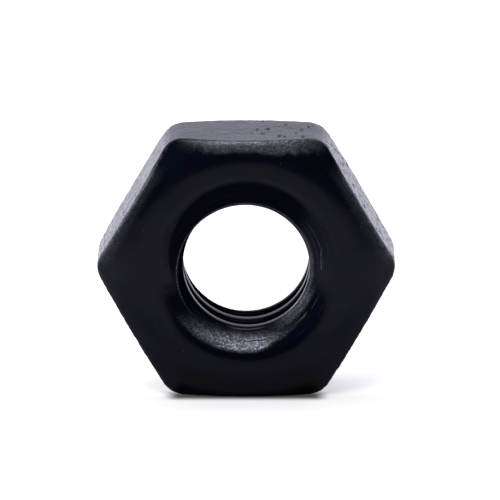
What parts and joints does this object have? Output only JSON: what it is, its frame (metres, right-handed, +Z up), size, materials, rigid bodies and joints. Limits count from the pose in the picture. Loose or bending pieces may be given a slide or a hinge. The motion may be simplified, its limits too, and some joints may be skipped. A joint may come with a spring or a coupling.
{
  "type": "thin hexagon nut",
  "caption": "Thin hexagon nut in black-oxide steel, chamfered and bell-mouthed on both faces, with a right-hand internal thread through it.",
  "frame": {"origin": "on the ground under the middle of the nut, which stands on one of its six flats", "axes": "+Z up out of the top flat, +Y backwards along the axis of the thread, +X to the right across two corners as the front face is seen"},
  "size_m": [0.0144, 0.0048, 0.0127],
  "materials": {
    "black_oxide_steel": "black oxide on steel, blue-black and satin, with fine pits and edges rubbed slightly paler"
  },
  "bodies": {
    "root": {"hex_nut": "black_oxide_steel"}
  },
  "joints": []
}
